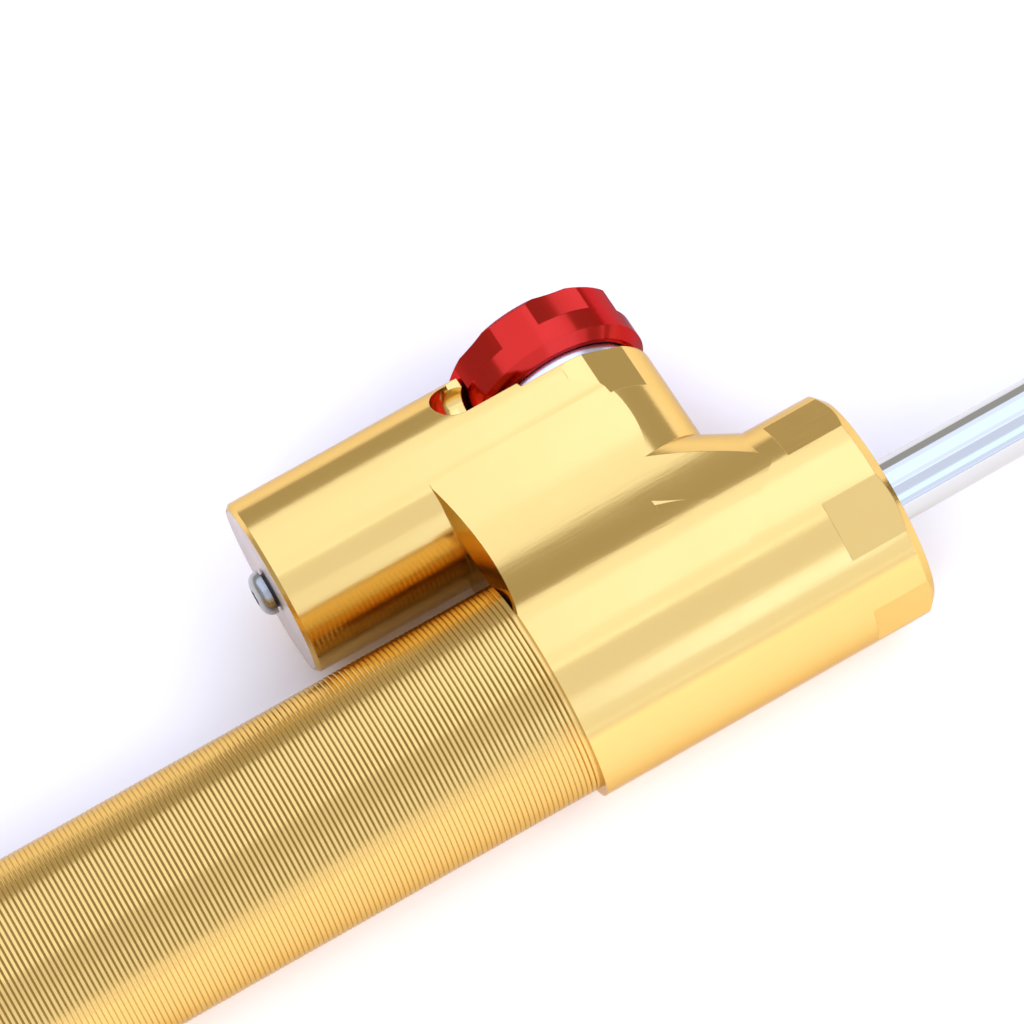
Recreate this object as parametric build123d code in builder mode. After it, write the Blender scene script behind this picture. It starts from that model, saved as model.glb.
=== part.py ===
"""Hydraulic steering damper with a through rod, a piggyback reservoir and a click adjuster.

The damper lies as it is photographed: +X runs along the rod towards the rod end,
+Y points from the rod axis to the adjuster knob, and +Z is up.
The origin is on the rod axis, half way along the bare tube.
"""

import os
from math import acos, atan2, cos, radians, sin, sqrt, tan

from build123d import *

os.makedirs("parts", exist_ok=True)

# Outer tube, which the clamp grips
tube_r = 13.5
tube_bore_r = 11.3
tube_half_length = 48.0
spigot_r = 12.1
spigot_length = 8.0

# Working cylinder inside the tube
cylinder_r = 10.0
cylinder_bore_r = 8.8
cylinder_port_r = 0.7
cylinder_port_count = 4

# Fits
running_gap = 0.03
sliding_gap = 0.04
seal_gap = 0.05
slip_gap = 0.05
end_gap = 0.2

# Head and end cap barrels
barrel_r = 14.6
head_length = 45.0
cap_r = 13.0
cap_length = 34.0
barrel_chamfer = 1.1
spigot_socket_depth = 9.5
gallery_length = 1.5
gallery_r = 11.2
cylinder_seat_length = 3.5
flat_count = 6
flat_half_angle = 15.0
head_flat_length = 8.3

# Reservoir and the web that carries it
reservoir_r = 11.4
reservoir_offset = 28.8
reservoir_overhang = 21.4
reservoir_into_web = 12.0
reservoir_bore_r = 8.5
reservoir_bore_length = 19.8
reservoir_mouth_r = 9.2
reservoir_mouth_depth = 5.5
reservoir_edge_chamfer = 0.5
flank_r = 40.0
flank_bite = 0.2

# Dished relief on the web face beside the tube
relief_r = 35.0
relief_tilt = 20.0
relief_y = 15.5
relief_foot_z = 7.3

# Turret that carries the adjuster
turret_from_head = 20.6
turret_r = 11.35
turret_rim_y = 30.3
turret_flat_angle = 60.0
turret_flat_half_angle = 15.0
turret_flat_height = 6.2
knob_pocket_r = 12.4
knob_slot_r = 3.3
knob_slot_floor_y = 31.0
knob_slot_from_turret = 12.1
knob_slot_ball_z = 8.3
knob_slot_seam = 15.0

# Sloping boss between the turret and the barrel
boss_r = 12.4
boss_taper = 11.8
boss_slope = 44.4
boss_axis_rise = 9.8
boss_back = 8.0
boss_ahead = 14.0

# Rod, guides and seals
rod_r = 4.0
rod_left_reach = 142.0
rod_chamfer = 0.6
stroke_half = 55.0
guide_r = 6.0
guide_length = 10.0
rear_guide_length = 7.0
rod_clear_r = 4.4
rod_clear_length = 3.5
rear_rod_clear_length = 1.0
gland_r = 8.0
seal_length = 5.0
rear_seal_length = 3.6
gland_washer_length = 2.0
rear_gland_washer_length = 1.0
wiper_length = 4.5
rear_wiper_length = 3.2
wiper_lip = 1.0
wiper_lip_r = 5.6
gland_ring_length = 1.0
gland_ring_depth = 0.8
gland_ring_width = 2.2

# Piston
piston_r = 8.5
piston_length = 14.0
band_width = 5.8
band_depth = 0.9
band_groove_gap = 0.1
band_inner_gap = 0.05
energiser_r = 0.5
clip_length = 1.0
clip_r = 6.2
clip_depth = 0.5
clip_recess_gap = 0.2
clip_recess_r = 6.5

# Needle valve
seat_r = 3.0
seat_y = 10.0
seat_length = 4.0
seat_bore_r = 1.2
valve_room_r = 4.0
lower_passage_r = 1.5
port_r = 1.0
chamber_port_y = 7.5
return_port_r = 0.9
return_port_angle = 33.0
reservoir_port_r = 1.0
needle_r = 2.5
needle_tip_r = 0.9
needle_tip_y = 12.0
needle_tip_length = 2.5
needle_taper_length = 2.5
needle_top_y = 38.3

# Adjuster collar and knob
collar_r = 9.8
collar_height = 4.3
shank_r = 7.0
shank_length = 7.0
knob_r = 11.8
knob_bottom_y = 32.2
knob_bevel = 1.2
knob_top_y = 40.0
knob_top_chamfer = 0.5
knob_ceiling_y = 36.2
knob_web = 2.2
knob_recess_gap = 0.2
knob_top_recess_r = 7.4
grip_count = 6
grip_offset_angle = 10.0
grip_half_angle = 17.5
grip_depth = 0.85
grip_floor_y = 36.2
click_count = 12
click_r = 0.7
click_depth = 0.3
click_radius = 6.0
ball_r = 1.25
ball_hole_depth = 4.0
ball_hole_gap = 0.05
ball_gap = 0.1
click_spring_wall = 0.4

# Screws
small_screw_r = 1.5
button_head_r = 2.85
button_head_height = 1.65
socket_across = 2.0
socket_depth = 0.9
knob_screw_r = 1.2
knob_screw_length = 5.0
washer_r = 2.2
washer_thickness = 0.4

# Reservoir plug, floating piston and spring
plug_flange_r = 10.7
plug_flange_length = 1.6
floater_length = 5.0
floater_from_plug = 10.6
floater_gap = 0.05
spring_mean_r = 5.6
spring_wire_width = 1.2
spring_wire_height = 0.8
spring_turns = 4
spring_seat_gap = 0.02

# O-ring sections
tube_oring_r = 0.72
cylinder_oring_r = 0.55
plug_oring_r = 0.75
floater_oring_r = 0.8
collar_oring_r = 0.6
needle_oring_r = 0.4
oring_side_gap = 0.1
oring_sides = 8
oring_turn = 180 / oring_sides

# Rod end and jam nut
nut_across = 13.0
nut_length = 4.0
nut_clearance = 2.0
eye_r = 10.0
eye_thickness = 6.75
eye_reach = 26.0
eye_neck_half = 5.2
end_shank_r = 6.0
end_shank_length = 17.0
rod_thread_length = 14.0
race_r = 8.0
ball_end_r = 6.35
ball_end_gap = 0.05
ball_end_width = 9.0
ball_end_bore_r = 3.0

# Places along the rod axis
head_left = tube_half_length
head_right = head_left + head_length
cap_right = -tube_half_length
cap_left = cap_right - cap_length
socket_end = tube_half_length + spigot_socket_depth
gallery_end = socket_end + gallery_length
chamber_end = gallery_end + cylinder_seat_length
turret_x = head_left + turret_from_head
reservoir_left = head_left - reservoir_overhang
plug_face = reservoir_left + reservoir_mouth_depth
reservoir_bottom = plug_face + reservoir_bore_length
nut_left = head_right + stroke_half + nut_clearance
nut_right = nut_left + nut_length
eye_x = nut_right + eye_reach

# Places along the adjuster axis
collar_top_y = turret_rim_y + collar_height
shank_bottom_y = turret_rim_y - shank_length
seat_top_y = seat_y + seat_length
needle_shoulder_y = needle_tip_y + needle_tip_length + needle_taper_length

# Flank of the web: an arc that leaves the barrel at a tangent and bites a little into the reservoir
flank_to_barrel = barrel_r + flank_r
flank_to_reservoir = reservoir_r + flank_r - flank_bite
flank_y = (flank_to_barrel**2 - flank_to_reservoir**2 + reservoir_offset**2) / (2 * reservoir_offset)
flank_z = sqrt(flank_to_barrel**2 - flank_y**2)
web_half_thickness = flank_z - flank_r
barrel_point = (barrel_r * flank_y / flank_to_barrel, barrel_r * flank_z / flank_to_barrel)


def circles_meet(y1, z1, r1, y2, z2, r2):
    """Returns the meeting point of two circles that lies nearer to the first circle's left."""
    apart = sqrt((y2 - y1) ** 2 + (z2 - z1) ** 2)
    towards = atan2(z2 - z1, y2 - y1)
    swing = acos((r1**2 + apart**2 - r2**2) / (2 * r1 * apart))
    angle = towards + swing
    return (y1 + r1 * cos(angle), z1 + r1 * sin(angle))


reservoir_point = circles_meet(reservoir_offset, 0, reservoir_r, flank_y, flank_z, flank_r)
flank_low_point = (flank_y, web_half_thickness)

# Planes and axes of the adjuster and the reservoir
reservoir_plane = Plane.YZ.offset(reservoir_left)
adjuster_plane = Plane(origin=(turret_x, 0, 0), x_dir=(1, 0, 0), z_dir=(0, 1, 0))
adjuster_axis = Axis((turret_x, 0, 0), (0, 1, 0))
reservoir_axis = Axis((0, reservoir_offset, 0), (1, 0, 0))


def flat_depth_r(radius, half_angle):
    """Returns the distance from the axis to a flat that spans the half angle on each side."""
    return radius * cos(radians(half_angle))


# Head body: barrel, web, reservoir, turret and the passages of the valve
with BuildPart() as head_body:
    with BuildSketch(Plane.YZ.offset(head_left)):
        Rectangle(4 * reservoir_offset, 4 * barrel_r)
    extrude(amount=turret_from_head)
    with BuildSketch(Plane.YZ.offset(turret_x)):
        Circle(barrel_r)
    extrude(amount=head_length - turret_from_head)
    with BuildSketch(adjuster_plane):
        Circle(turret_r)
    extrude(amount=reservoir_offset + reservoir_r)
    boss_plane = Plane(
        origin=(turret_x, boss_axis_rise, 0),
        x_dir=(0, 0, 1),
        z_dir=(cos(radians(boss_slope)), -sin(radians(boss_slope)), 0),
    )
    with BuildSketch(boss_plane.offset(-boss_back)):
        Circle(boss_r - boss_back * tan(radians(boss_taper)))
    extrude(amount=boss_back + boss_ahead, taper=-boss_taper)
    with BuildSketch(Plane.YZ.offset(head_left)):
        with BuildLine():
            ThreePointArc(
                reservoir_point,
                (reservoir_offset + reservoir_r, 0),
                (reservoir_point[0], -reservoir_point[1]),
            )
            ThreePointArc((barrel_point[0], -barrel_point[1]), (-barrel_r, 0), barrel_point)
            ThreePointArc(barrel_point, flank_low_point, reservoir_point)
            ThreePointArc(
                (reservoir_point[0], -reservoir_point[1]),
                (flank_y, -web_half_thickness),
                (barrel_point[0], -barrel_point[1]),
            )
        make_face()
    extrude(amount=head_length, mode=Mode.INTERSECT)
    for side in (1, -1):
        relief_plane = Plane(
            origin=(
                head_left - relief_r / cos(radians(relief_tilt)),
                relief_y,
                side * relief_foot_z,
            ),
            x_dir=(0, 1, 0),
            z_dir=(sin(radians(relief_tilt)), 0, side * cos(radians(relief_tilt))),
        )
        with BuildSketch(relief_plane):
            Circle(relief_r)
        extrude(amount=relief_r, both=True, mode=Mode.SUBTRACT)
    with BuildSketch(reservoir_plane):
        with Locations((reservoir_offset, 0)):
            Circle(reservoir_r)
    extrude(amount=reservoir_overhang + reservoir_into_web)
    with BuildSketch(adjuster_plane.offset(turret_rim_y)):
        Circle(knob_pocket_r)
    extrude(amount=2 * reservoir_r, mode=Mode.SUBTRACT)
    for side in (1, -1):
        with BuildSketch(Plane.XY.offset(side * (knob_slot_ball_z - knob_slot_r / 2))):
            with Locations((turret_x - knob_slot_from_turret, knob_slot_floor_y)):
                Rectangle(knob_slot_from_turret, reservoir_r, align=(Align.MIN, Align.MIN))
        extrude(amount=side * reservoir_r, mode=Mode.SUBTRACT)
        with BuildSketch(Plane.XY.offset(side * knob_slot_ball_z)):
            with Locations((turret_x - knob_slot_from_turret, knob_slot_floor_y + knob_slot_r)):
                Circle(knob_slot_r)
        extrude(amount=side * reservoir_r, mode=Mode.SUBTRACT)
        with Locations(
            (
                turret_x - knob_slot_from_turret,
                knob_slot_floor_y + knob_slot_r,
                side * knob_slot_ball_z,
            )
        ):
            Sphere(knob_slot_r, rotation=(0, 90 + side * knob_slot_seam, 0), mode=Mode.SUBTRACT)
    chamfer(
        head_body.edges().filter_by(GeomType.CIRCLE).group_by(Axis.X)[-1],
        length=barrel_chamfer,
    )
    chamfer(
        head_body.edges().filter_by(GeomType.CIRCLE).group_by(Axis.X)[0],
        length=reservoir_edge_chamfer,
    )
    for index in range(flat_count):
        turn = radians(360 / flat_count * index)
        flat_plane = Plane(
            origin=(head_right, 0, 0), x_dir=(0, cos(turn), sin(turn)), z_dir=(-1, 0, 0)
        )
        with BuildSketch(flat_plane):
            with Locations((flat_depth_r(barrel_r, flat_half_angle), 0)):
                Rectangle(barrel_r, 2 * barrel_r, align=(Align.MIN, Align.CENTER))
        extrude(amount=head_flat_length, mode=Mode.SUBTRACT)
    for side in (1, -1):
        turn = radians(turret_flat_angle)
        turret_flat_plane = Plane(
            origin=(turret_x, turret_rim_y, 0),
            x_dir=(cos(turn), 0, side * sin(turn)),
            z_dir=(0, -1, 0),
        )
        with BuildSketch(turret_flat_plane):
            with Locations((flat_depth_r(turret_r, turret_flat_half_angle), 0)):
                Rectangle(turret_r, turret_r, align=(Align.MIN, Align.CENTER))
        extrude(amount=turret_flat_height, mode=Mode.SUBTRACT)
    with BuildSketch(Plane.YZ.offset(head_left)):
        Circle(spigot_r + slip_gap)
    extrude(amount=spigot_socket_depth, mode=Mode.SUBTRACT)
    with BuildSketch(Plane.YZ.offset(socket_end)):
        Circle(gallery_r)
    extrude(amount=gallery_length, mode=Mode.SUBTRACT)
    with BuildSketch(Plane.YZ.offset(gallery_end)):
        Circle(cylinder_r + slip_gap)
    extrude(amount=cylinder_seat_length, mode=Mode.SUBTRACT)
    with BuildSketch(Plane.YZ.offset((gallery_end + chamber_end) / 2)):
        Circle(cylinder_r + slip_gap + 2 * cylinder_oring_r)
    extrude(amount=cylinder_oring_r + oring_side_gap, both=True, mode=Mode.SUBTRACT)
    with BuildSketch(Plane.YZ.offset(chamber_end)):
        Circle(guide_r)
    extrude(amount=guide_length, mode=Mode.SUBTRACT)
    with BuildSketch(Plane.YZ.offset(chamber_end)):
        Circle(rod_clear_r)
    extrude(amount=head_right - chamber_end, mode=Mode.SUBTRACT)
    with BuildSketch(Plane.YZ.offset(chamber_end + guide_length + rod_clear_length)):
        Circle(gland_r)
    extrude(
        amount=head_right - chamber_end - guide_length - rod_clear_length,
        mode=Mode.SUBTRACT,
    )
    front_seal_x = chamber_end + guide_length + rod_clear_length
    front_washer_x = front_seal_x + seal_length
    front_wiper_x = front_washer_x + gland_washer_length
    front_ring_x = front_wiper_x + wiper_length
    with BuildSketch(Plane.YZ.offset(front_ring_x)):
        Circle(gland_r + gland_ring_depth)
    extrude(amount=gland_ring_length, mode=Mode.SUBTRACT)
    with BuildSketch(reservoir_plane):
        with Locations((reservoir_offset, 0)):
            Circle(reservoir_mouth_r)
    extrude(amount=reservoir_mouth_depth, mode=Mode.SUBTRACT)
    with BuildSketch(reservoir_plane):
        with Locations((reservoir_offset, 0)):
            Circle(plug_flange_r + slip_gap)
    extrude(amount=plug_flange_length, mode=Mode.SUBTRACT)
    with BuildSketch(Plane.YZ.offset(plug_face)):
        with Locations((reservoir_offset, 0)):
            Circle(reservoir_bore_r)
    extrude(amount=reservoir_bore_length, mode=Mode.SUBTRACT)
    with BuildSketch(adjuster_plane.offset(shank_bottom_y)):
        Circle(shank_r)
    extrude(amount=shank_length, mode=Mode.SUBTRACT)
    with BuildSketch(adjuster_plane.offset(seat_top_y)):
        Circle(valve_room_r)
    extrude(amount=shank_bottom_y - seat_top_y, mode=Mode.SUBTRACT)
    with BuildSketch(adjuster_plane.offset(seat_y)):
        Circle(seat_r)
    extrude(amount=seat_length, mode=Mode.SUBTRACT)
    with BuildSketch(adjuster_plane.offset(chamber_port_y - port_r / 2)):
        Circle(lower_passage_r)
    extrude(amount=seat_y - chamber_port_y + port_r / 2, mode=Mode.SUBTRACT)
    with BuildSketch(Plane.YZ.offset(chamber_end)):
        with Locations((chamber_port_y, 0)):
            Circle(port_r)
    extrude(amount=turret_x - chamber_end, mode=Mode.SUBTRACT)
    return_port_plane = Plane(
        origin=((socket_end + gallery_end) / 2, gallery_r - return_port_r / 2, 0),
        x_dir=(0, 0, 1),
        z_dir=(cos(radians(return_port_angle)), sin(radians(return_port_angle)), 0),
    )
    with BuildSketch(return_port_plane):
        Circle(return_port_r)
    extrude(
        amount=(turret_x - gallery_end - valve_room_r / 2) / cos(radians(return_port_angle)),
        mode=Mode.SUBTRACT,
    )
    with BuildSketch(Plane.YZ.offset(reservoir_bottom)):
        with Locations((reservoir_offset - reservoir_bore_r + 1.5 * reservoir_port_r, 0)):
            Circle(reservoir_port_r)
    extrude(amount=turret_x - reservoir_bottom, mode=Mode.SUBTRACT)
head_body.part.label = "head_body"
export_step(head_body.part, "parts/head_body.step")

# End cap, no wider than the tube so that the clamp can pass over it
with BuildPart() as end_cap:
    with BuildSketch(Plane.YZ.offset(cap_left)):
        Circle(cap_r)
    extrude(amount=cap_length)
    chamfer(end_cap.edges().group_by(Axis.X)[0], length=barrel_chamfer)
    for index in range(flat_count):
        turn = radians(360 / flat_count * index)
        flat_plane = Plane(origin=(cap_left, 0, 0), x_dir=(0, cos(turn), sin(turn)), z_dir=(1, 0, 0))
        with BuildSketch(flat_plane):
            with Locations((flat_depth_r(cap_r, flat_half_angle), 0)):
                Rectangle(cap_r, 2 * cap_r, align=(Align.MIN, Align.CENTER))
        extrude(amount=head_flat_length, mode=Mode.SUBTRACT)
    with BuildSketch(Plane.YZ.offset(-socket_end)):
        Circle(spigot_r + slip_gap)
    extrude(amount=spigot_socket_depth, mode=Mode.SUBTRACT)
    with BuildSketch(Plane.YZ.offset(-gallery_end)):
        Circle(gallery_r)
    extrude(amount=gallery_length, mode=Mode.SUBTRACT)
    with BuildSketch(Plane.YZ.offset(-chamber_end)):
        Circle(cylinder_r + slip_gap)
    extrude(amount=cylinder_seat_length, mode=Mode.SUBTRACT)
    with BuildSketch(Plane.YZ.offset(-(gallery_end + chamber_end) / 2)):
        Circle(cylinder_r + slip_gap + 2 * cylinder_oring_r)
    extrude(amount=cylinder_oring_r + oring_side_gap, both=True, mode=Mode.SUBTRACT)
    with BuildSketch(Plane.YZ.offset(-chamber_end)):
        Circle(guide_r)
    extrude(amount=-rear_guide_length, mode=Mode.SUBTRACT)
    with BuildSketch(Plane.YZ.offset(cap_left)):
        Circle(rod_clear_r)
    extrude(amount=-chamber_end - cap_left, mode=Mode.SUBTRACT)
    rear_seal_x = -(chamber_end + rear_guide_length + rear_rod_clear_length)
    rear_washer_x = rear_seal_x - rear_seal_length
    rear_wiper_x = rear_washer_x - rear_gland_washer_length
    rear_ring_x = rear_wiper_x - rear_wiper_length
    with BuildSketch(Plane.YZ.offset(cap_left)):
        Circle(gland_r)
    extrude(amount=rear_seal_x - cap_left, mode=Mode.SUBTRACT)
    with BuildSketch(Plane.YZ.offset(rear_ring_x)):
        Circle(gland_r + gland_ring_depth)
    extrude(amount=-gland_ring_length, mode=Mode.SUBTRACT)
end_cap.part.label = "end_cap"
export_step(end_cap.part, "parts/end_cap.step")

# Outer tube with a spigot at each end
with BuildPart() as outer_tube:
    with BuildSketch(Plane.YZ):
        Circle(tube_r)
    extrude(amount=tube_half_length, both=True)
    with BuildSketch(Plane.YZ):
        Circle(spigot_r)
    extrude(amount=tube_half_length + spigot_length, both=True)
    with BuildSketch(Plane.YZ):
        Circle(tube_bore_r)
    extrude(amount=tube_half_length + spigot_length, both=True, mode=Mode.SUBTRACT)
outer_tube.part.label = "outer_tube"
export_step(outer_tube.part, "parts/outer_tube.step")

# Working cylinder with its cross ports at the end cap
with BuildPart() as inner_tube:
    with BuildSketch(Plane.YZ):
        Circle(cylinder_r)
        Circle(cylinder_bore_r, mode=Mode.SUBTRACT)
    extrude(amount=chamber_end - end_gap, both=True)
    for index in range(cylinder_port_count):
        turn = radians(360 / cylinder_port_count * (index + 0.5))
        port_plane = Plane(
            origin=(-(socket_end + gallery_end) / 2, 0, 0),
            x_dir=(1, 0, 0),
            z_dir=(0, cos(turn), sin(turn)),
        )
        with BuildSketch(port_plane):
            Circle(cylinder_port_r)
        extrude(amount=gallery_r, mode=Mode.SUBTRACT)
inner_tube.part.label = "inner_tube"
export_step(inner_tube.part, "parts/inner_tube.step")

# O-rings at the tube spigots and round the working cylinder
with BuildPart() as tube_orings:
    oring_x = tube_half_length + spigot_length + (spigot_socket_depth - spigot_length) / 2
    with BuildSketch(Plane.XY):
        with Locations((oring_x, spigot_r - tube_oring_r), (-oring_x, spigot_r - tube_oring_r)):
            RegularPolygon(tube_oring_r, oring_sides, major_radius=False, rotation=oring_turn)
    revolve(axis=Axis.X)
tube_orings.part.label = "tube_orings"
export_step(tube_orings.part, "parts/tube_orings.step")

with BuildPart() as cylinder_orings:
    oring_x = (gallery_end + chamber_end) / 2
    oring_y = cylinder_r + slip_gap + cylinder_oring_r
    with BuildSketch(Plane.XY):
        with Locations((oring_x, oring_y), (-oring_x, oring_y)):
            RegularPolygon(cylinder_oring_r, oring_sides, major_radius=False, rotation=oring_turn)
    revolve(axis=Axis.X)
cylinder_orings.part.label = "cylinder_orings"
export_step(cylinder_orings.part, "parts/cylinder_orings.step")

# Guide bushes that carry the rod
with BuildPart() as front_guide_bush:
    with BuildSketch(Plane.YZ.offset(chamber_end)):
        Circle(guide_r)
        Circle(rod_r + running_gap, mode=Mode.SUBTRACT)
    extrude(amount=guide_length)
front_guide_bush.part.label = "front_guide_bush"
export_step(front_guide_bush.part, "parts/front_guide_bush.step")

with BuildPart() as rear_guide_bush:
    with BuildSketch(Plane.YZ.offset(-chamber_end)):
        Circle(guide_r)
        Circle(rod_r + running_gap, mode=Mode.SUBTRACT)
    extrude(amount=-rear_guide_length)
rear_guide_bush.part.label = "rear_guide_bush"
export_step(rear_guide_bush.part, "parts/rear_guide_bush.step")

# Rod seals
with BuildPart() as front_rod_seal:
    with BuildSketch(Plane.YZ.offset(front_seal_x)):
        Circle(gland_r)
        Circle(rod_r + seal_gap, mode=Mode.SUBTRACT)
    extrude(amount=seal_length)
front_rod_seal.part.label = "front_rod_seal"
export_step(front_rod_seal.part, "parts/front_rod_seal.step")

with BuildPart() as rear_rod_seal:
    with BuildSketch(Plane.YZ.offset(rear_seal_x)):
        Circle(gland_r)
        Circle(rod_r + seal_gap, mode=Mode.SUBTRACT)
    extrude(amount=-rear_seal_length)
rear_rod_seal.part.label = "rear_rod_seal"
export_step(rear_rod_seal.part, "parts/rear_rod_seal.step")

# Washers that back the seals
with BuildPart() as gland_washers:
    with BuildSketch(Plane.YZ.offset(front_washer_x)):
        Circle(gland_r)
        Circle(rod_clear_r, mode=Mode.SUBTRACT)
    extrude(amount=gland_washer_length)
    with BuildSketch(Plane.YZ.offset(rear_washer_x)):
        Circle(gland_r)
        Circle(rod_clear_r, mode=Mode.SUBTRACT)
    extrude(amount=-rear_gland_washer_length)
gland_washers.part.label = "gland_washers"
export_step(gland_washers.part, "parts/gland_washers.step")

# Dust wipers with a lip that stands out along the rod
with BuildPart() as front_dust_wiper:
    with BuildSketch(Plane.YZ.offset(front_wiper_x)):
        Circle(gland_r)
    extrude(amount=wiper_length)
    with BuildSketch(Plane.YZ.offset(front_wiper_x + wiper_length)):
        Circle(wiper_lip_r)
    extrude(amount=wiper_lip)
    with BuildSketch(Plane.YZ.offset(front_wiper_x)):
        Circle(rod_r + seal_gap)
    extrude(amount=wiper_length + wiper_lip, mode=Mode.SUBTRACT)
front_dust_wiper.part.label = "front_dust_wiper"
export_step(front_dust_wiper.part, "parts/front_dust_wiper.step")

with BuildPart() as rear_dust_wiper:
    with BuildSketch(Plane.YZ.offset(rear_wiper_x)):
        Circle(gland_r)
    extrude(amount=-rear_wiper_length)
    with BuildSketch(Plane.YZ.offset(rear_wiper_x - rear_wiper_length)):
        Circle(wiper_lip_r)
    extrude(amount=-wiper_lip)
    with BuildSketch(Plane.YZ.offset(rear_wiper_x)):
        Circle(rod_r + seal_gap)
    extrude(amount=-rear_wiper_length - wiper_lip, mode=Mode.SUBTRACT)
rear_dust_wiper.part.label = "rear_dust_wiper"
export_step(rear_dust_wiper.part, "parts/rear_dust_wiper.step")

# Retaining rings in their grooves
with BuildPart() as front_retaining_ring:
    with BuildSketch(Plane.YZ.offset(front_ring_x)):
        Circle(gland_r + gland_ring_depth)
        Circle(gland_r + gland_ring_depth - gland_ring_width, mode=Mode.SUBTRACT)
        Rectangle(2 * gland_r, gland_ring_width, align=(Align.MAX, Align.CENTER), mode=Mode.SUBTRACT)
    extrude(amount=gland_ring_length)
front_retaining_ring.part.label = "front_retaining_ring"
export_step(front_retaining_ring.part, "parts/front_retaining_ring.step")

with BuildPart() as rear_retaining_ring:
    with BuildSketch(Plane.YZ.offset(rear_ring_x)):
        Circle(gland_r + gland_ring_depth)
        Circle(gland_r + gland_ring_depth - gland_ring_width, mode=Mode.SUBTRACT)
        Rectangle(2 * gland_r, gland_ring_width, align=(Align.MAX, Align.CENTER), mode=Mode.SUBTRACT)
    extrude(amount=-gland_ring_length)
rear_retaining_ring.part.label = "rear_retaining_ring"
export_step(rear_retaining_ring.part, "parts/rear_retaining_ring.step")

# Rod that passes right through the damper
with BuildPart() as piston_rod:
    rod_right = nut_right + rod_thread_length
    with BuildSketch(Plane.YZ.offset(-rod_left_reach)):
        Circle(rod_r)
    extrude(amount=rod_right + rod_left_reach)
    chamfer(piston_rod.edges().group_by(Axis.X)[0], length=rod_chamfer)
    clip_outer_x = piston_length / 2 - clip_recess_gap
    for side in (1, -1):
        with BuildSketch(Plane.YZ.offset(side * clip_outer_x)):
            Circle(rod_r)
            Circle(rod_r - clip_depth, mode=Mode.SUBTRACT)
        extrude(amount=-side * clip_length, mode=Mode.SUBTRACT)
piston_rod.part.label = "piston_rod"
export_step(piston_rod.part, "parts/piston_rod.step")

# Piston held on the rod by two clips
band_groove_half = band_width / 2 + band_groove_gap
band_groove_r = piston_r - band_depth
with BuildPart() as damper_piston:
    with BuildSketch(Plane.YZ):
        Circle(piston_r)
    extrude(amount=piston_length / 2, both=True)
    with BuildSketch(Plane.YZ):
        Circle(piston_r)
        Circle(band_groove_r, mode=Mode.SUBTRACT)
    extrude(amount=band_groove_half, both=True, mode=Mode.SUBTRACT)
    with BuildSketch(Plane.YZ):
        Circle(band_groove_r)
        Circle(band_groove_r - 2 * energiser_r, mode=Mode.SUBTRACT)
    extrude(amount=energiser_r + oring_side_gap, both=True, mode=Mode.SUBTRACT)
    for side in (1, -1):
        with BuildSketch(Plane.YZ.offset(side * piston_length / 2)):
            Circle(clip_recess_r)
        extrude(amount=-side * (clip_length + clip_recess_gap), mode=Mode.SUBTRACT)
    with BuildSketch(Plane.YZ):
        Circle(rod_r)
    extrude(amount=piston_length, both=True, mode=Mode.SUBTRACT)
damper_piston.part.label = "damper_piston"
export_step(damper_piston.part, "parts/damper_piston.step")

with BuildPart() as piston_clips:
    for side in (1, -1):
        with BuildSketch(Plane.YZ.offset(side * clip_outer_x)):
            Circle(clip_r)
            Circle(rod_r - clip_depth, mode=Mode.SUBTRACT)
            Rectangle(2 * clip_r, rod_r, align=(Align.MAX, Align.CENTER), mode=Mode.SUBTRACT)
        extrude(amount=-side * clip_length)
piston_clips.part.label = "piston_clips"
export_step(piston_clips.part, "parts/piston_clips.step")

with BuildPart() as piston_oring:
    with BuildSketch(Plane.XY):
        with Locations((0, band_groove_r - energiser_r)):
            RegularPolygon(energiser_r, oring_sides, major_radius=False, rotation=oring_turn)
    revolve(axis=Axis.X)
piston_oring.part.label = "piston_oring"
export_step(piston_oring.part, "parts/piston_oring.step")

with BuildPart() as piston_band:
    with BuildSketch(Plane.YZ):
        Circle(cylinder_bore_r - sliding_gap)
        Circle(band_groove_r + band_inner_gap, mode=Mode.SUBTRACT)
    extrude(amount=band_width / 2, both=True)
piston_band.part.label = "piston_band"
export_step(piston_band.part, "parts/piston_band.step")

# Valve seat pressed into the turret
with BuildPart() as valve_seat:
    with BuildSketch(adjuster_plane.offset(seat_y)):
        Circle(seat_r)
        Circle(seat_bore_r, mode=Mode.SUBTRACT)
    extrude(amount=seat_length)
valve_seat.part.label = "valve_seat"
export_step(valve_seat.part, "parts/valve_seat.step")

# Needle with its O-ring groove
needle_groove_y = shank_bottom_y + shank_length / 2
with BuildPart() as needle_valve:
    with BuildSketch(adjuster_plane.offset(needle_tip_y)):
        Circle(needle_tip_r)
    extrude(amount=needle_tip_length)
    with BuildSketch(adjuster_plane.offset(needle_tip_y + needle_tip_length)):
        Circle(needle_tip_r)
    with BuildSketch(adjuster_plane.offset(needle_shoulder_y)):
        Circle(needle_r)
    loft()
    with BuildSketch(adjuster_plane.offset(needle_shoulder_y)):
        Circle(needle_r)
    extrude(amount=needle_top_y - needle_shoulder_y)
    with BuildSketch(adjuster_plane.offset(needle_groove_y)):
        Circle(needle_r)
        Circle(needle_r - 2 * needle_oring_r, mode=Mode.SUBTRACT)
    extrude(amount=needle_oring_r + oring_side_gap, both=True, mode=Mode.SUBTRACT)
    with BuildSketch(adjuster_plane.offset(needle_top_y)):
        Circle(knob_screw_r + slip_gap)
    extrude(amount=-knob_screw_length, mode=Mode.SUBTRACT)
needle_valve.part.label = "needle_valve"
export_step(needle_valve.part, "parts/needle_valve.step")

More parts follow.
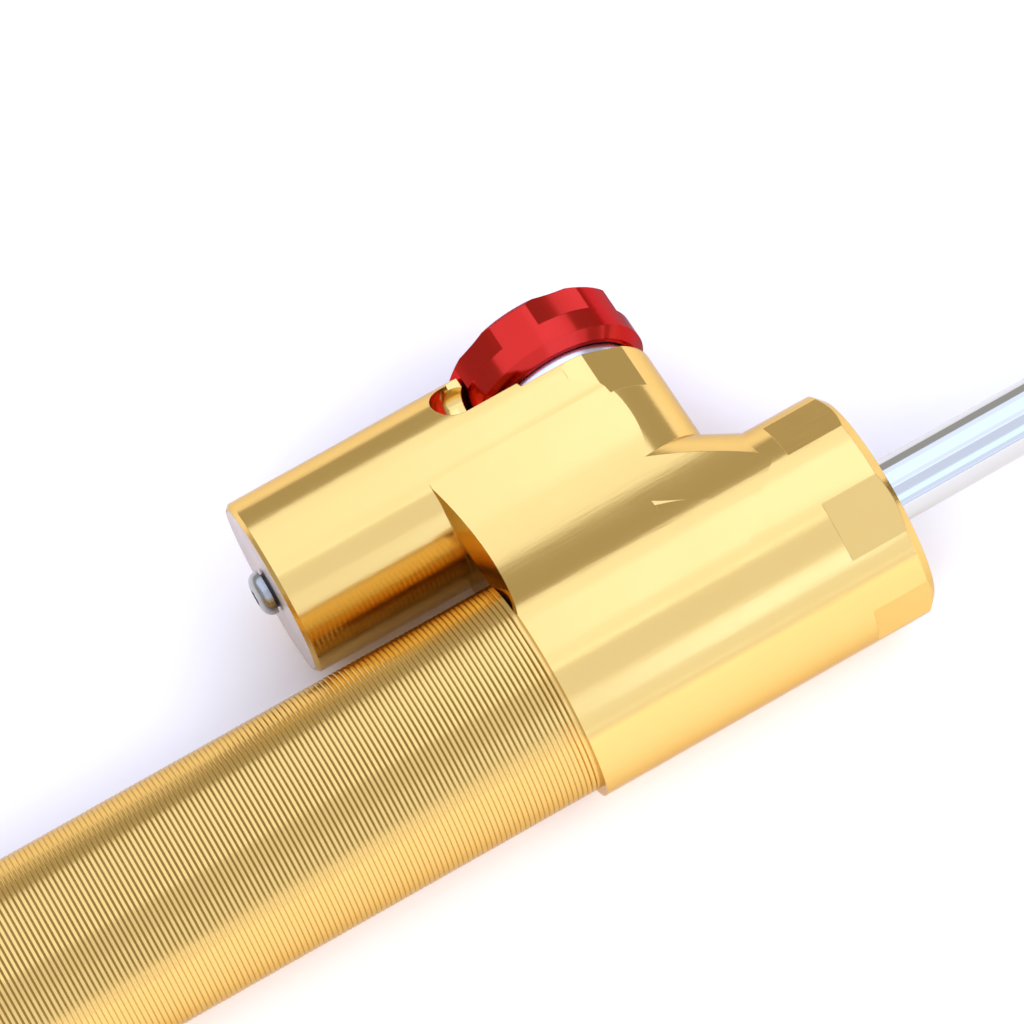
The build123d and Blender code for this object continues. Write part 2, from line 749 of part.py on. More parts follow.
with BuildPart() as needle_oring:
    with BuildSketch(Plane.XY):
        with Locations((turret_x + needle_r - needle_oring_r, needle_groove_y)):
            RegularPolygon(needle_oring_r, oring_sides, major_radius=False, rotation=oring_turn)
    revolve(axis=adjuster_axis)
needle_oring.part.label = "needle_oring"
export_step(needle_oring.part, "parts/needle_oring.step")

# Bright collar screwed into the turret
collar_groove_y = shank_bottom_y + shank_length / 2
ball_hole_r = ball_r + ball_hole_gap
ball_angles = (90, 270)
with BuildPart() as adjuster_collar:
    with BuildSketch(adjuster_plane.offset(shank_bottom_y)):
        Circle(shank_r)
    extrude(amount=shank_length)
    with BuildSketch(adjuster_plane.offset(turret_rim_y)):
        Circle(collar_r)
    extrude(amount=collar_height)
    with BuildSketch(adjuster_plane.offset(collar_groove_y)):
        Circle(shank_r)
        Circle(shank_r - 2 * collar_oring_r, mode=Mode.SUBTRACT)
    extrude(amount=collar_oring_r + oring_side_gap, both=True, mode=Mode.SUBTRACT)
    with BuildSketch(adjuster_plane.offset(shank_bottom_y)):
        Circle(needle_r + running_gap)
    extrude(amount=shank_length + collar_height, mode=Mode.SUBTRACT)
    with BuildSketch(adjuster_plane.offset(collar_top_y)):
        for angle in ball_angles:
            with Locations((click_radius * cos(radians(angle)), click_radius * sin(radians(angle)))):
                Circle(ball_hole_r)
    extrude(amount=-ball_hole_depth, mode=Mode.SUBTRACT)
adjuster_collar.part.label = "adjuster_collar"
export_step(adjuster_collar.part, "parts/adjuster_collar.step")

with BuildPart() as collar_oring:
    with BuildSketch(Plane.XY):
        with Locations((turret_x + shank_r - collar_oring_r, collar_groove_y)):
            RegularPolygon(collar_oring_r, oring_sides, major_radius=False, rotation=oring_turn)
    revolve(axis=adjuster_axis)
collar_oring.part.label = "collar_oring"
export_step(collar_oring.part, "parts/collar_oring.step")

# Click balls and the springs under them
ball_y = knob_ceiling_y - ball_gap - ball_r
spring_bottom_y = collar_top_y - ball_hole_depth
with BuildPart() as click_balls:
    for angle in ball_angles:
        with Locations((turret_x, ball_y, click_radius * sin(radians(angle)))):
            Sphere(ball_r)
click_balls.part.label = "click_balls"
export_step(click_balls.part, "parts/click_balls.step")

with BuildPart() as click_springs:
    with BuildSketch(adjuster_plane.offset(spring_bottom_y)):
        for angle in ball_angles:
            with Locations((click_radius * cos(radians(angle)), click_radius * sin(radians(angle)))):
                Circle(ball_r - ball_hole_gap)
                Circle(ball_r - ball_hole_gap - click_spring_wall, mode=Mode.SUBTRACT)
    extrude(amount=ball_y - ball_r / 2 - spring_bottom_y)
    with Locations(*[(turret_x, ball_y, click_radius * sin(radians(angle))) for angle in ball_angles]):
        Sphere(ball_r + ball_hole_gap, mode=Mode.SUBTRACT)
click_springs.part.label = "click_springs"
export_step(click_springs.part, "parts/click_springs.step")

# Knob with scooped grips, click pockets under its web and a recess on top
grip_edge_x = knob_r * cos(radians(grip_half_angle))
grip_edge_y = knob_r * sin(radians(grip_half_angle))
grip_floor_r = knob_r - grip_depth
grip_r = ((grip_edge_x - grip_floor_r) ** 2 + grip_edge_y**2) / (2 * (grip_edge_x - grip_floor_r))
with BuildPart() as adjuster_knob:
    with BuildSketch(adjuster_plane.offset(knob_bottom_y)):
        Circle(knob_r)
    extrude(amount=knob_top_y - knob_bottom_y)
    chamfer(adjuster_knob.edges().group_by(Axis.Y)[0], length=knob_bevel)
    chamfer(adjuster_knob.edges().group_by(Axis.Y)[-1], length=knob_top_chamfer)
    with BuildSketch(adjuster_plane.offset(grip_floor_y)):
        with PolarLocations(grip_floor_r + grip_r, grip_count, start_angle=-grip_offset_angle):
            Circle(grip_r)
    extrude(amount=knob_top_y - grip_floor_y, mode=Mode.SUBTRACT)
    with BuildSketch(adjuster_plane.offset(knob_bottom_y)):
        Circle(collar_r + knob_recess_gap)
    extrude(amount=knob_ceiling_y - knob_bottom_y, mode=Mode.SUBTRACT)
    with BuildSketch(adjuster_plane.offset(knob_ceiling_y + knob_web)):
        Circle(knob_top_recess_r)
    extrude(amount=knob_top_y - knob_ceiling_y - knob_web, mode=Mode.SUBTRACT)
    with BuildSketch(adjuster_plane.offset(knob_ceiling_y)):
        with PolarLocations(click_radius, click_count, start_angle=90):
            Circle(click_r)
    extrude(amount=click_depth, mode=Mode.SUBTRACT)
    with BuildSketch(adjuster_plane.offset(knob_ceiling_y)):
        Circle(needle_r + running_gap)
    extrude(amount=knob_web, mode=Mode.SUBTRACT)
adjuster_knob.part.label = "adjuster_knob"
export_step(adjuster_knob.part, "parts/adjuster_knob.step")

# Screw that holds the knob on the needle
knob_screw_seat_y = knob_ceiling_y + knob_web
knob_screw_top_y = knob_screw_seat_y + button_head_height
with BuildPart() as knob_screw:
    with BuildSketch(adjuster_plane.offset(knob_screw_seat_y)):
        Circle(button_head_r)
    extrude(amount=button_head_height)
    chamfer(knob_screw.edges().group_by(Axis.Y)[-1], length=button_head_height / 2)
    with BuildSketch(adjuster_plane.offset(knob_screw_seat_y)):
        Circle(knob_screw_r)
    extrude(amount=-knob_screw_length + slip_gap)
    with BuildSketch(adjuster_plane.offset(knob_screw_top_y)):
        RegularPolygon(socket_across / 2, 6, major_radius=False)
    extrude(amount=-socket_depth, mode=Mode.SUBTRACT)
knob_screw.part.label = "knob_screw"
export_step(knob_screw.part, "parts/knob_screw.step")

# Plug of the reservoir with its flange, O-ring, washer and bleed screw
plug_groove_x = (reservoir_left + plug_flange_length + plug_face) / 2
with BuildPart() as reservoir_plug:
    with BuildSketch(reservoir_plane):
        with Locations((reservoir_offset, 0)):
            Circle(reservoir_mouth_r)
    extrude(amount=reservoir_mouth_depth)
    with BuildSketch(reservoir_plane):
        with Locations((reservoir_offset, 0)):
            Circle(plug_flange_r)
    extrude(amount=plug_flange_length)
    with BuildSketch(Plane.YZ.offset(plug_groove_x)):
        with Locations((reservoir_offset, 0)):
            Circle(reservoir_mouth_r)
            Circle(reservoir_mouth_r - 2 * plug_oring_r, mode=Mode.SUBTRACT)
    extrude(amount=plug_oring_r + oring_side_gap, both=True, mode=Mode.SUBTRACT)
    with BuildSketch(reservoir_plane):
        with Locations((reservoir_offset, 0)):
            Circle(small_screw_r)
    extrude(amount=reservoir_mouth_depth, mode=Mode.SUBTRACT)
reservoir_plug.part.label = "reservoir_plug"
export_step(reservoir_plug.part, "parts/reservoir_plug.step")

with BuildPart() as plug_oring:
    with BuildSketch(Plane.XY):
        with Locations((plug_groove_x, reservoir_offset + reservoir_mouth_r - plug_oring_r)):
            RegularPolygon(plug_oring_r, oring_sides, major_radius=False, rotation=oring_turn)
    revolve(axis=reservoir_axis)
plug_oring.part.label = "plug_oring"
export_step(plug_oring.part, "parts/plug_oring.step")

with BuildPart() as bleed_washer:
    with BuildSketch(reservoir_plane):
        with Locations((reservoir_offset, 0)):
            Circle(washer_r)
            Circle(small_screw_r, mode=Mode.SUBTRACT)
    extrude(amount=-washer_thickness)
bleed_washer.part.label = "bleed_washer"
export_step(bleed_washer.part, "parts/bleed_washer.step")

bleed_seat_x = reservoir_left - washer_thickness
bleed_top_x = bleed_seat_x - button_head_height
with BuildPart() as bleed_screw:
    with BuildSketch(Plane.YZ.offset(bleed_seat_x)):
        with Locations((reservoir_offset, 0)):
            Circle(button_head_r)
    extrude(amount=-button_head_height)
    chamfer(bleed_screw.edges().group_by(Axis.X)[0], length=button_head_height / 2)
    with BuildSketch(Plane.YZ.offset(bleed_seat_x)):
        with Locations((reservoir_offset, 0)):
            Circle(small_screw_r)
    extrude(amount=plug_face - bleed_seat_x)
    with BuildSketch(Plane.YZ.offset(bleed_top_x)):
        with Locations((reservoir_offset, 0)):
            RegularPolygon(socket_across / 2, 6, major_radius=False)
    extrude(amount=socket_depth, mode=Mode.SUBTRACT)
bleed_screw.part.label = "bleed_screw"
export_step(bleed_screw.part, "parts/bleed_screw.step")

# Floating piston and the coil spring behind it
floater_left = plug_face + floater_from_plug
floater_r = reservoir_bore_r - floater_gap
floater_middle = floater_left + floater_length / 2
with BuildPart() as floating_piston:
    with BuildSketch(Plane.YZ.offset(floater_left)):
        with Locations((reservoir_offset, 0)):
            Circle(floater_r)
    extrude(amount=floater_length)
    with BuildSketch(Plane.YZ.offset(floater_middle)):
        with Locations((reservoir_offset, 0)):
            Circle(floater_r)
            Circle(floater_r - 2 * floater_oring_r, mode=Mode.SUBTRACT)
    extrude(amount=floater_oring_r + oring_side_gap, both=True, mode=Mode.SUBTRACT)
floating_piston.part.label = "floating_piston"
export_step(floating_piston.part, "parts/floating_piston.step")

with BuildPart() as floating_piston_oring:
    with BuildSketch(Plane.XY):
        with Locations((floater_middle, reservoir_offset + floater_r - floater_oring_r)):
            RegularPolygon(floater_oring_r, oring_sides, major_radius=False, rotation=oring_turn)
    revolve(axis=reservoir_axis)
floating_piston_oring.part.label = "floating_piston_oring"
export_step(floating_piston_oring.part, "parts/floating_piston_oring.step")

spring_run = floater_from_plug - spring_wire_height - 2 * spring_seat_gap
spring_pitch = spring_run / spring_turns
spring_start_x = plug_face + spring_wire_height / 2 + spring_seat_gap
with BuildPart() as reservoir_spring:
    with BuildLine() as spring_line:
        Helix(
            pitch=spring_pitch,
            height=spring_run,
            radius=spring_mean_r,
            center=(spring_start_x, reservoir_offset, 0),
            direction=(1, 0, 0),
        )
    wire_start = spring_line.line @ 0
    wire_outwards = wire_start - Vector(spring_start_x, reservoir_offset, 0)
    with BuildSketch(Plane(origin=wire_start, x_dir=wire_outwards, z_dir=spring_line.line % 0)):
        Rectangle(spring_wire_width, spring_wire_height)
    sweep(path=spring_line.line, is_frenet=True)
reservoir_spring.part.label = "reservoir_spring"
export_step(reservoir_spring.part, "parts/reservoir_spring.step")

# Jam nut on the rod
with BuildPart() as jam_nut:
    with BuildSketch(Plane.YZ.offset(nut_left)):
        RegularPolygon(nut_across / 2, 6, major_radius=False)
        Circle(rod_r, mode=Mode.SUBTRACT)
    extrude(amount=nut_length)
jam_nut.part.label = "jam_nut"
export_step(jam_nut.part, "parts/jam_nut.step")

# Rod end: body, race and ball
with BuildPart() as rod_end_body:
    with BuildSketch(Plane.YZ.offset(nut_right)):
        Circle(end_shank_r)
    extrude(amount=end_shank_length)
    with BuildSketch(Plane.XY):
        with Locations((eye_x, 0)):
            Circle(eye_r)
        with BuildLine():
            Polyline(
                (nut_right + end_shank_length / 2, end_shank_r * cos(radians(flat_half_angle))),
                (eye_x, eye_r),
                (eye_x, -eye_r),
                (nut_right + end_shank_length / 2, -end_shank_r * cos(radians(flat_half_angle))),
                close=True,
            )
        make_face()
    extrude(amount=eye_thickness / 2, both=True)
    with BuildSketch(Plane.XY):
        with Locations((eye_x, 0)):
            Circle(race_r)
    extrude(amount=eye_r, both=True, mode=Mode.SUBTRACT)
    with BuildSketch(Plane.YZ.offset(nut_right)):
        Circle(rod_r)
    extrude(amount=rod_thread_length, mode=Mode.SUBTRACT)
rod_end_body.part.label = "rod_end_body"
export_step(rod_end_body.part, "parts/rod_end_body.step")

with BuildPart() as rod_end_race:
    with BuildSketch(Plane.XY):
        with Locations((eye_x, 0)):
            Circle(race_r)
    extrude(amount=eye_thickness / 2, both=True)
    with Locations((eye_x, 0, 0)):
        Sphere(ball_end_r + ball_end_gap, mode=Mode.SUBTRACT)
rod_end_race.part.label = "rod_end_race"
export_step(rod_end_race.part, "parts/rod_end_race.step")

with BuildPart() as rod_end_ball:
    with Locations((eye_x, 0, 0)):
        Sphere(ball_end_r)
        Box(2 * ball_end_r, 2 * ball_end_r, ball_end_width, mode=Mode.INTERSECT)
        Hole(ball_end_bore_r)
rod_end_ball.part.label = "rod_end_ball"
export_step(rod_end_ball.part, "parts/rod_end_ball.step")
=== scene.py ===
# %% [markdown]
# # Steering damper, dressed for its portrait
# The solids of the damper come packed as a frame: one mesh for each piece, in place, in metres.
# This lesson gives each piece the finish that the real one has, swaps seven pieces for new
# meshes, and lights the whole damper as a studio would.
# The frame is loaded first, because everything else is measured from it.

from math import atan2, cos, pi, radians, sin, tan

import bmesh
import bpy
from mathutils import Matrix, Vector


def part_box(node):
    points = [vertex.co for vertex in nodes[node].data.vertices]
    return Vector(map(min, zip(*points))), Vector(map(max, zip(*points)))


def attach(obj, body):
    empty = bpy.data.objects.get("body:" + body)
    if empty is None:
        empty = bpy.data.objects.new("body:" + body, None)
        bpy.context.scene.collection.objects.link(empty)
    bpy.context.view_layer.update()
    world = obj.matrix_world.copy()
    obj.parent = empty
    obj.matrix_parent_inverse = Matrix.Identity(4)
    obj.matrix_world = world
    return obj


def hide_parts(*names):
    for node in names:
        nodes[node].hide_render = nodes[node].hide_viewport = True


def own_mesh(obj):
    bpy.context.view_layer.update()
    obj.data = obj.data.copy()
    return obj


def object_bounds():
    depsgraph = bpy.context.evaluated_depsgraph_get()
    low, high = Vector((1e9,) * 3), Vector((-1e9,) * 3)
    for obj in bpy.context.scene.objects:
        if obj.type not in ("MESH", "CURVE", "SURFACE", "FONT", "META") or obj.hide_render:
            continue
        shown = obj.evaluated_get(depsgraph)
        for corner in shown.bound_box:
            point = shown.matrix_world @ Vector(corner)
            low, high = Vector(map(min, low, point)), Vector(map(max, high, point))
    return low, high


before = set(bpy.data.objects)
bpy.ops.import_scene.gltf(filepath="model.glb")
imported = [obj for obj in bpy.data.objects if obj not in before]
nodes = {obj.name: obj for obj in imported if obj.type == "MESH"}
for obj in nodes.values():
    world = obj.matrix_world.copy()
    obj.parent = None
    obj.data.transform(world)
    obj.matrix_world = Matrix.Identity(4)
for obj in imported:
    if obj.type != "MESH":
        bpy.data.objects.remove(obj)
solid_box = [list(corner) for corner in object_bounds()]
print("pieces in the frame:", len(nodes))
print("lowest and highest corner:", solid_box)

# %% [markdown]
# ## Reading sizes from the frame
# The real pieces were made to one drawing, and the solids already hold its numbers.
# They could be typed again here, but then the two might drift apart, so each one is read
# from a piece's box. A millimetre helper keeps the few sizes that are added here readable.

# %% Sizes
MM = 0.001
PER_MM = 1 / MM


def box_of(node):
    """Returns the lowest and highest corner of a piece, as two vectors in metres."""
    low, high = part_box(node)
    return Vector(low), Vector(high)


tube_low, tube_high = box_of("outer_tube")
knob_low, knob_high = box_of("adjuster_knob")
plug_low, plug_high = box_of("reservoir_plug")
tube_radius = tube_high.z
knob_axis_x = (knob_low.x + knob_high.x) / 2
reservoir_axis_y = (plug_low.y + plug_high.y) / 2
print("tube radius in mm:", round(tube_radius / MM, 3))
print("adjuster axis in mm:", round(knob_axis_x / MM, 3))
print("reservoir axis in mm:", round(reservoir_axis_y / MM, 3))

# %% [markdown]
# ## The floor
# The damper lies on a plain pale sheet. A sheet that curves up behind the object is usual in a
# studio, but this camera looks down and never sees so far, so a single large plane is enough.

# %% Floor
FLOOR_SIZE = 5.0
FLOOR_GAP = 0.02 * MM


def new_object(name, mesh):
    """Puts a mesh into the scene under a name and returns its object."""
    piece = bpy.data.objects.new(name, mesh)
    bpy.context.scene.collection.objects.link(piece)
    return piece


floor_form = bmesh.new()
bmesh.ops.create_grid(floor_form, x_segments=1, y_segments=1, size=FLOOR_SIZE / 2)
bmesh.ops.translate(floor_form, verts=floor_form.verts, vec=(0, 0, solid_box[0][2] - FLOOR_GAP))
floor_mesh = bpy.data.meshes.new("floor")
floor_form.to_mesh(floor_mesh)
floor_form.free()
floor = new_object("floor", floor_mesh)
print("floor height in mm:", round(floor.data.vertices[0].co.z / MM, 3))

# %% [markdown]
# ## The floor's finish
# A matt sheet needs no pattern, because the light burns it nearly white. Its colour is a little
# warm, to make up for the cool lamps, and its shine is low, so that no lamp shows in it.

# %% Floor finish
FLOOR_COLOUR = (0.90, 0.81, 0.73, 1.0)
FLOOR_ROUGHNESS = 0.8
FLOOR_SHINE = 0.1

floor_finish = bpy.data.materials.new("floor_sheet")
floor_finish.use_nodes = True
floor_shader = floor_finish.node_tree.nodes["Principled BSDF"]
floor_shader.inputs["Base Color"].default_value = FLOOR_COLOUR
floor_shader.inputs["Roughness"].default_value = FLOOR_ROUGHNESS
floor_shader.inputs["Specular IOR Level"].default_value = FLOOR_SHINE
floor.data.materials.append(floor_finish)
print("floor finish:", floor_finish.name)

# %% [markdown]
# ## The camera
# The photograph was taken from well above and a little to the side, through a long lens.
# A camera can be aimed with angles or with a constraint, but three vectors are easier to check
# here: where the lens stands, which way it looks, and which way is right in the picture.
# A camera in Blender looks along its own -Z, so the third column is the way it looks, turned round.

# %% Camera
LENS_MM = 187.2
SENSOR_MM = 36.0
NEAREST_SEEN = 0.01
FARTHEST_SEEN = 20.0
lens_place = Vector((-23.345, -267.331, 557.337)) * MM
looking = Vector((0.12532, 0.45732, -0.88043)).normalized()
rightwards = Vector((0.86647, -0.48270, -0.12739)).normalized()
upwards = rightwards.cross(looking).normalized()

camera_data = bpy.data.cameras.new("camera")
camera_data.lens = LENS_MM
camera_data.sensor_width = SENSOR_MM
camera_data.clip_start = NEAREST_SEEN
camera_data.clip_end = FARTHEST_SEEN
camera = new_object("camera", camera_data)
turned = Matrix((rightwards, upwards, -looking)).transposed().to_4x4()
camera.matrix_world = Matrix.Translation(lens_place) @ turned
bpy.context.scene.camera = camera
print("camera stands at mm:", [round(v / MM, 1) for v in lens_place])

# %% [markdown]
# ## Hanging a lamp
# The photograph shows broad pale bands along every round piece, and a soft middle tone elsewhere.
# Polished metal reflects the shape of each lamp, so area lamps give such bands, where a point or
# a sun would give thin glints. A lamp's brightness is its power over its area, so each lamp
# is asked for by its brightness, its width and the way it stands from the damper.

# %% Lamp helpers
SCENE_CENTRE = Vector((45.0, 5.0, 0.0)) * MM
LAMP_DISTANCE = 0.9
SOFT = {"colour": (0.50, 0.63, 1.0), "length": 1.8, "middle": 0.0}
HOT = {"colour": (0.24, 0.46, 1.0), "length": 0.55, "middle": 0.40}
CORNER_COLOUR = (0.86, 0.93, 1.0)
CORNER_RISE = radians(42)
CORNER_SIZE = (0.6, 0.6)


def hang_lamp(name, away, across, size, brightness, colour, middle=0.0):
    """Hangs a rectangular lamp that faces the damper, and returns it."""
    data = bpy.data.lights.new(name, "AREA")
    data.shape = "RECTANGLE"
    data.size, data.size_y = size
    data.energy = brightness * pi * data.size * data.size_y
    data.color = colour
    lamp = new_object(name, data)
    up = away.cross(across)
    facing = Matrix((across, up, away)).transposed().to_4x4()
    place = SCENE_CENTRE + away * LAMP_DISTANCE + across * middle
    lamp.matrix_world = Matrix.Translation(place) @ facing
    return lamp


def long_lamp(name, kind, direction_deg, half_width_deg, brightness):
    """Hangs a lamp along the damper; its direction goes round the axis from +Y towards +Z."""
    angle = radians(direction_deg)
    away = Vector((0, cos(angle), sin(angle)))
    size = (kind["length"], 2 * LAMP_DISTANCE * tan(radians(half_width_deg)))
    return hang_lamp(
        name, away, Vector((1, 0, 0)), size, brightness, kind["colour"], kind["middle"]
    )


def corner_lamp(name, round_deg, brightness):
    """Hangs a small lamp in front and to one side, which doesn't show in the metal."""
    angle = radians(round_deg)
    level = Vector((cos(angle), sin(angle), 0))
    away = level * cos(CORNER_RISE) + Vector((0, 0, sin(CORNER_RISE)))
    across = Vector((-sin(angle), cos(angle), 0))
    lamp = hang_lamp(name, away, across, CORNER_SIZE, brightness, CORNER_COLOUR)
    lamp.visible_glossy = False
    return lamp


print("lamp helpers:", [helper.__name__ for helper in (hang_lamp, long_lamp, corner_lamp)])

# %% [markdown]
# ## The lamps
# Long soft lamps go round the damper, from above and behind it down to the floor in front.
# Shorter and bluer ones lie over them towards the rod end, where the photograph's bands are
# hottest: gold swallows blue, so a blue lamp turns a gold band white without making it glare.
# Two corner lamps brighten the sheet. They would show in the metal as pale patches, so they are
# hidden from it. A plain white room fills what is left.
# One row of numbers for each lamp keeps them easy to compare and to change.

# %% Lamps
LONG_LAMPS = [  # name, kind, direction and half width in degrees, brightness
    ("rear_lamp", SOFT, 69.5, 35.5, 1.5),
    ("hot_field", HOT, 72.0, 19.0, 0.6),
    ("hot_strip", HOT, 72.0, 9.0, 1.5),
    ("edge_strip", SOFT, 106.0, 1.5, 0.8),
    ("gap_fill", SOFT, 121.0, 16.5, 0.95),
    ("hot_gap", HOT, 121.0, 16.5, 0.8),
    ("front_lamp", SOFT, 155.5, 18.5, 1.15),
    ("hot_front", HOT, 149.0, 9.0, 1.2),
    ("low_fill", SOFT, 177.0, 4.0, 1.0),
]
CORNER_LAMPS = [  # name, direction round the upright axis in degrees, brightness
    ("left_corner", 230.0, 3.6),
    ("right_corner", 310.0, 3.6),
]
ROOM_COLOUR = (1.0, 1.0, 1.0, 1.0)
ROOM_BRIGHTNESS = 0.5

lamps = [long_lamp(*row) for row in LONG_LAMPS] + [corner_lamp(*row) for row in CORNER_LAMPS]
room = bpy.data.worlds.new("room")
room.use_nodes = True
room_light = room.node_tree.nodes["Background"]
room_light.inputs["Color"].default_value = ROOM_COLOUR
room_light.inputs["Strength"].default_value = ROOM_BRIGHTNESS
bpy.context.scene.world = room
bpy.context.scene.view_settings.view_transform = "Standard"
print("lamps:", [lamp.name for lamp in lamps])

# %% [markdown]
# ## Building shaders in code
# A finish is a small tree of nodes. Each node could be added and linked with three or four lines,
# but the same few kinds come again and again, so they get helpers first.
# An input takes either a link or a fixed value, and one helper decides which.

# %% Shader helpers
MIX_SOCKETS = (0, 6, 7)
MIX_RESULT = 2


def feed(tree, target, source):
    """Links a socket to an input, or sets the input to a fixed value."""
    if isinstance(source, bpy.types.NodeSocket):
        tree.links.new(source, target)
    else:
        target.default_value = source


def maths(tree, operation, *sources):
    """Adds a Math node to a tree and returns its result."""
    node = tree.nodes.new("ShaderNodeMath")
    node.operation = operation
    for target, source in zip(node.inputs, sources):
        feed(tree, target, source)
    return node.outputs[0]


def mixed(tree, blend, factor, first, second):
    """Adds a Mix node for two colours and returns its result."""
    node = tree.nodes.new("ShaderNodeMix")
    node.data_type = "RGBA"
    node.blend_type = blend
    for index, source in zip(MIX_SOCKETS, (factor, first, second)):
        feed(tree, node.inputs[index], source)
    return node.outputs[MIX_RESULT]


def along_and_out(tree, place):
    """Splits a place into how far it is along the X axis and how far out from it."""
    split = tree.nodes.new("ShaderNodeSeparateXYZ")
    feed(tree, split.inputs[0], place)
    squares = [maths(tree, "POWER", split.outputs[side], 2.0) for side in (1, 2)]
    return split.outputs[0], maths(tree, "SQRT", maths(tree, "ADD", *squares))


print("shader helpers:", [helper.__name__ for helper in (feed, maths, mixed, along_and_out)])

# %% [markdown]
# ## Shared effects: how a group is made
# Marks and smears come on many pieces, so each effect is a group that is built once. A group
# needs named sockets on both ends; in this release they belong to the group's interface.
# Every material gives its own values, so no socket needs a default.

# %% Group helper


def group_with(name, inputs, outputs):
    """Makes a shader group with named sockets and returns the group with its two end nodes."""
    group = bpy.data.node_groups.new(name, "ShaderNodeTree")
    for way, sockets in (("INPUT", inputs), ("OUTPUT", outputs)):
        for label, kind in sockets:
            group.interface.new_socket(name=label, in_out=way, socket_type=kind)
    return group, group.nodes.new("NodeGroupInput"), group.nodes.new("NodeGroupOutput")


print("group helper:", group_with.__name__)

# %% [markdown]
# ## Shared effects: marks left by a lathe
# Turned metal carries very fine lines round its axis, and rings on its end faces.
# Modelled lines would need millions of faces, and a wave texture looks too even, so both come
# from noise: the place along the axis and the distance out from the axis are stretched so far
# that noise turns into lines. The group is built once, and each material sets its own pitch.

# %% Lathe marks group
LATHE_DETAIL = 2.0


def fine_noise(tree, place, detail):
    """Adds noise that reads an already stretched place, and returns its grey value."""
    texture = tree.nodes.new("ShaderNodeTexNoise")
    texture.inputs["Scale"].default_value = 1.0
    texture.inputs["Detail"].default_value = detail
    feed(tree, texture.inputs["Vector"], place)
    return texture.outputs["Fac"]


lathe_marks, lathe_in, lathe_out = group_with(
    "lathe_marks",
    [("Vector", "NodeSocketVector"), ("Lines per mm", "NodeSocketFloat")],
    [("Height", "NodeSocketFloat")],
)
lathe_rate = maths(lathe_marks, "MULTIPLY", lathe_in.outputs["Lines per mm"], PER_MM)
lathe_place = lathe_marks.nodes.new("ShaderNodeCombineXYZ")
for index, distance in enumerate(along_and_out(lathe_marks, lathe_in.outputs["Vector"])):
    stretched = maths(lathe_marks, "MULTIPLY", distance, lathe_rate)
    feed(lathe_marks, lathe_place.inputs[index], stretched)
lathe_lines = fine_noise(lathe_marks, lathe_place.outputs[0], LATHE_DETAIL)
feed(lathe_marks, lathe_out.inputs["Height"], lathe_lines)
print("group:", lathe_marks.name, [s.name for s in lathe_marks.interface.items_tree])

# %% [markdown]
# ## Shared effects: marks left by a milling cutter
# The head's web is milled by a cutter that runs along the damper, so its finest marks are short
# streaks in that direction. The lathe's group can't give them, because its lines go round an axis.
# Noise that is squeezed across the streaks and left long beside them gives such marks.

# %% Milling marks group
MILLING_DETAIL = 1.0
MILLING_LINES_PER_MM = 1.8
STREAKS_PER_MM = 0.22

mill_marks, mill_in, mill_out = group_with(
    "mill_marks",
    [("Vector", "NodeSocketVector"), ("Lines per mm", "NodeSocketFloat")],
    [("Height", "NodeSocketFloat")],
)
mill_rate = maths(mill_marks, "MULTIPLY", mill_in.outputs["Lines per mm"], PER_MM)
mill_scale = mill_marks.nodes.new("ShaderNodeCombineXYZ")
for index, rate in enumerate((STREAKS_PER_MM * PER_MM, mill_rate, mill_rate)):
    feed(mill_marks, mill_scale.inputs[index], rate)
mill_place = mill_marks.nodes.new("ShaderNodeVectorMath")
mill_place.operation = "MULTIPLY"
feed(mill_marks, mill_place.inputs[0], mill_in.outputs["Vector"])
feed(mill_marks, mill_place.inputs[1], mill_scale.outputs[0])
mill_lines = fine_noise(mill_marks, mill_place.outputs[0], MILLING_DETAIL)
feed(mill_marks, mill_out.inputs["Height"], mill_lines)
print("group:", mill_marks.name, [s.name for s in mill_marks.interface.items_tree])

# %% [markdown]
# ## Shared effects: handling
# No real surface is evenly clean. Faint clouds in the roughness, and a trace of them in the
# colour, make the reflections break up a little, as they do on a part that was held and wiped.
# One noise drives both, because a smear changes shine and colour in the same place.

# %% Handling group
CLOUD_DETAIL = 5.0
CLOUD_ROUGHNESS = 0.6
CLOUD_LOW = 0.3
CLOUD_HIGH = 0.7

handling, handling_in, handling_out = group_with(
    "handling",
    [
        ("Vector", "NodeSocketVector"),
        ("Clouds per mm", "NodeSocketFloat"),
        ("Smooth", "NodeSocketFloat"),
        ("Rough", "NodeSocketFloat"),
        ("Colour", "NodeSocketColor"),
        ("Shade", "NodeSocketColor"),
    ],
    [("Roughness", "NodeSocketFloat"), ("Colour", "NodeSocketColor")],
)
cloud_scale = maths(handling, "MULTIPLY", handling_in.outputs["Clouds per mm"], PER_MM)
clouds = handling.nodes.new("ShaderNodeTexNoise")
clouds.inputs["Detail"].default_value = CLOUD_DETAIL
clouds.inputs["Roughness"].default_value = CLOUD_ROUGHNESS
feed(handling, clouds.inputs["Vector"], handling_in.outputs["Vector"])
feed(handling, clouds.inputs["Scale"], cloud_scale)
shine = handling.nodes.new("ShaderNodeMapRange")
feed(handling, shine.inputs["Value"], clouds.outputs["Fac"])
feed(handling, shine.inputs["From Min"], CLOUD_LOW)
feed(handling, shine.inputs["From Max"], CLOUD_HIGH)
feed(handling, shine.inputs["To Min"], handling_in.outputs["Smooth"])
feed(handling, shine.inputs["To Max"], handling_in.outputs["Rough"])
feed(handling, handling_out.inputs["Roughness"], shine.outputs["Result"])
clouded = mixed(
    handling,
    "MIX",
    clouds.outputs["Fac"],
    handling_in.outputs["Colour"],
    handling_in.outputs["Shade"],
)
feed(handling, handling_out.inputs["Colour"], clouded)
print("group:", handling.name, [s.name for s in handling.interface.items_tree])

